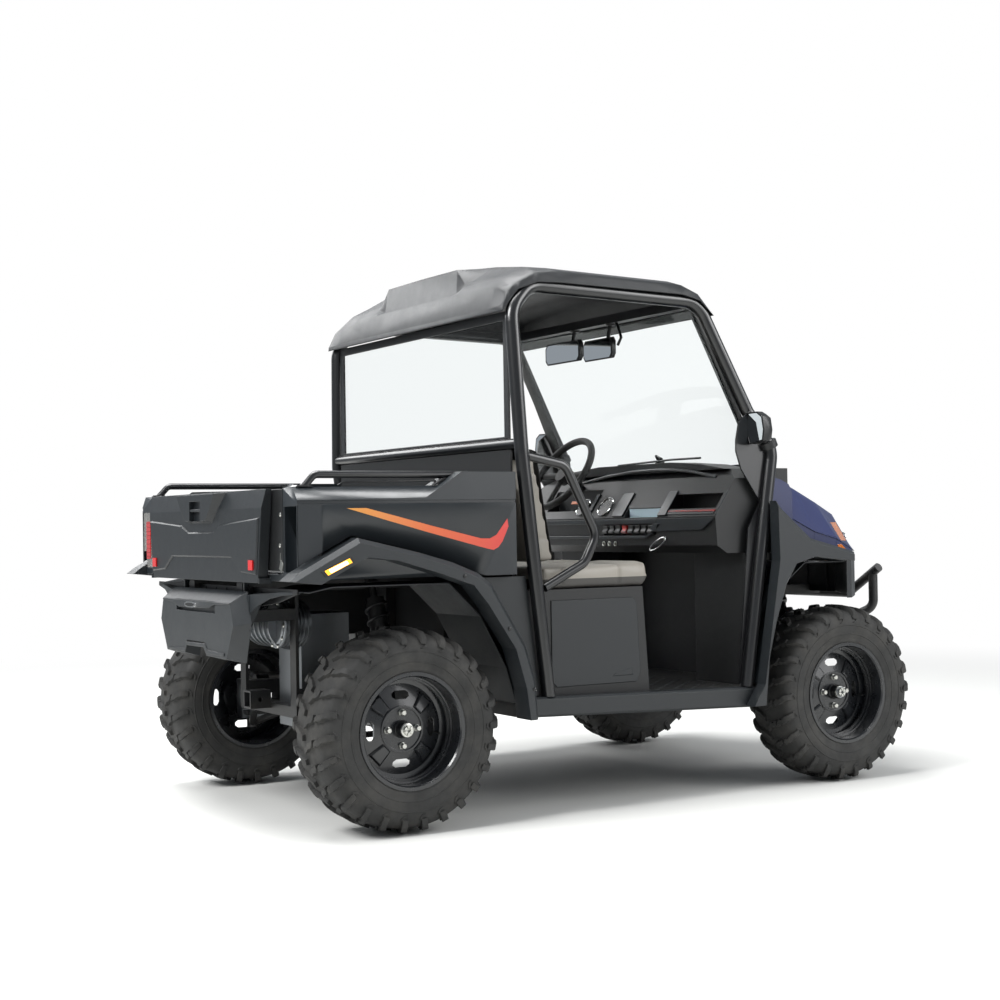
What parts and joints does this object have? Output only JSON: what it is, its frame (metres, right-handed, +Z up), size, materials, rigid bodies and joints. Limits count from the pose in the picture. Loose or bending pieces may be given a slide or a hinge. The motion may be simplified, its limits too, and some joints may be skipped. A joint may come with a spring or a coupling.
{
  "type": "side by side utility vehicle",
  "caption": "Side by side utility vehicle with open cab sides, roll cage, moulded roof, tilting cargo bed with drop gate and steered off-road wheels.",
  "frame": {"origin": "on the ground under the middle of the vehicle's bounding box", "axes": "+X forward, +Y to the vehicle's left, +Z up"},
  "size_m": [2.871, 1.61, 1.9682],
  "materials": {
    "tyre_rubber": "matte",
    "wheel_steel": "satin",
    "frame_steel": "satin",
    "cage_steel": "semi-gloss",
    "navy_gloss": "gloss",
    "lamp_clear": "clear",
    "lamp_amber": "gloss",
    "slate_body": "gloss",
    "side_plastic": "satin",
    "grained_plastic": "grained",
    "roof_plastic": "matte",
    "tub_plastic": "matte",
    "floor_plastic": "matte",
    "dash_plastic": "matte",
    "window_glass": "clear",
    "seat_vinyl": "soft satin",
    "lamp_lens": "clear",
    "reflector_red": "gloss",
    "cast_alloy": "as cast",
    "battery_case": "matte",
    "shock_steel": "satin",
    "shaft_steel": "machined",
    "grip_foam": "soft"
  },
  "bodies": {
    "chassis": {"main_frame": "frame_steel", "floor_pan": "floor_plastic", "firewall": "dash_plastic", "sills": "side_plastic", "cab_cage": "cage_steel", "roof_panel": "roof_plastic", "windshield": "window_glass", "rear_window_frame": "roof_plastic", "rear_window": "window_glass", "rear_cab_panel": "dash_plastic", "seat_base": "dash_plastic", "battery_pack": "battery_case", "seat_cushion": "seat_vinyl", "seat_backrest": "seat_vinyl", "hip_bars": "cage_steel", "dashboard": "dash_plastic", "hood": "navy_gloss", "head_lamps": "lamp_clear", "turn_lamps": "lamp_amber", "grille": "grained_plastic", "front_fascia": "side_plastic", "front_fenders": "grained_plastic", "rear_flares": "grained_plastic", "rear_side_panels": "side_plastic", "rear_wheel_liners": "tub_plastic", "front_wheel_liners": "tub_plastic", "rear_bumper": "grained_plastic", "drive_unit": "cast_alloy", "rear_suspension_arms": "frame_steel", "rear_shocks": "shock_steel", "front_suspension_arms": "frame_steel", "front_shocks": "shock_steel", "rear_carriers": "cast_alloy", "half_shafts": "shaft_steel", "steering_column": "frame_steel", "bull_bar": "frame_steel", "hitch_receiver": "frame_steel"},
    "bed": {"bed_tub": "tub_plastic", "bed_side_panels": "slate_body", "bed_rails": "cage_steel", "tail_lamp": "lamp_lens"},
    "tailgate": {"tailgate": "tub_plastic", "reflectors": "reflector_red"},
    "knuckle_right": {"knuckle_right": "cast_alloy"},
    "knuckle_left": {"knuckle_left": "cast_alloy"},
    "steering_rack": {"steering_rack": "shaft_steel"},
    "steering_wheel": {"steering_wheel": "grip_foam"},
    "wheel_rear_right": {"tyre_rear_right": "tyre_rubber", "rim_rear_right": "wheel_steel"},
    "wheel_rear_left": {"tyre_rear_left": "tyre_rubber", "rim_rear_left": "wheel_steel"},
    "wheel_front_right": {"tyre_front_right": "tyre_rubber", "rim_front_right": "wheel_steel"},
    "wheel_front_left": {"tyre_front_left": "tyre_rubber", "rim_front_left": "wheel_steel"}
  },
  "joints": [
    {"name": "bed_tilt", "type": "hinge", "parent": "chassis", "child": "bed", "pos_m": [-1.3445, 0, 0.812], "axis": [0, -1, 0], "range_deg": [0, 35]},
    {"name": "tailgate_drop", "type": "hinge", "parent": "bed", "child": "tailgate", "pos_m": [-1.4005, 0, 0.839], "axis": [0, -1, 0], "range_deg": [0, 90]},
    {"name": "steer_left", "type": "hinge", "parent": "chassis", "child": "knuckle_left", "pos_m": [0.9175, 0.6, 0.34], "axis": [0, 0, 1], "range_deg": [-28, 28]},
    {"name": "steer_right", "type": "hinge", "parent": "chassis", "child": "knuckle_right", "pos_m": [0.9175, -0.6, 0.34], "axis": [0, 0, 1], "range_deg": [-28, 28]},
    {"name": "rack_slide", "type": "slide", "parent": "chassis", "child": "steering_rack", "axis": [0, 1, 0], "range_m": [-0.06, 0.06]},
    {"name": "steering_wheel_turn", "type": "hinge", "parent": "chassis", "child": "steering_wheel", "pos_m": [0.3525, 0.345, 1.225], "axis": [0.8192, 0, -0.5736], "range_deg": [-255, 255]},
    {"name": "spin_rear_right", "type": "hinge", "parent": "chassis", "child": "wheel_rear_right", "pos_m": [-0.9825, -0.66, 0.34], "axis": [0, 1, 0], "continuous": true},
    {"name": "spin_rear_left", "type": "hinge", "parent": "chassis", "child": "wheel_rear_left", "pos_m": [-0.9825, 0.66, 0.34], "axis": [0, 1, 0], "continuous": true},
    {"name": "spin_front_right", "type": "hinge", "parent": "knuckle_right", "child": "wheel_front_right", "pos_m": [0.9175, -0.675, 0.34], "axis": [0, 1, 0], "continuous": true},
    {"name": "spin_front_left", "type": "hinge", "parent": "knuckle_left", "child": "wheel_front_left", "pos_m": [0.9175, 0.675, 0.34], "axis": [0, 1, 0], "continuous": true}
  ],
  "couplings": [
    {"joint": "steer_right", "follows": "steer_left", "ratio": 1},
    {"joint": "rack_slide", "follows": "steer_left", "m_per_rad": -0.12},
    {"joint": "steering_wheel_turn", "follows": "steer_left", "ratio": -9}
  ]
}
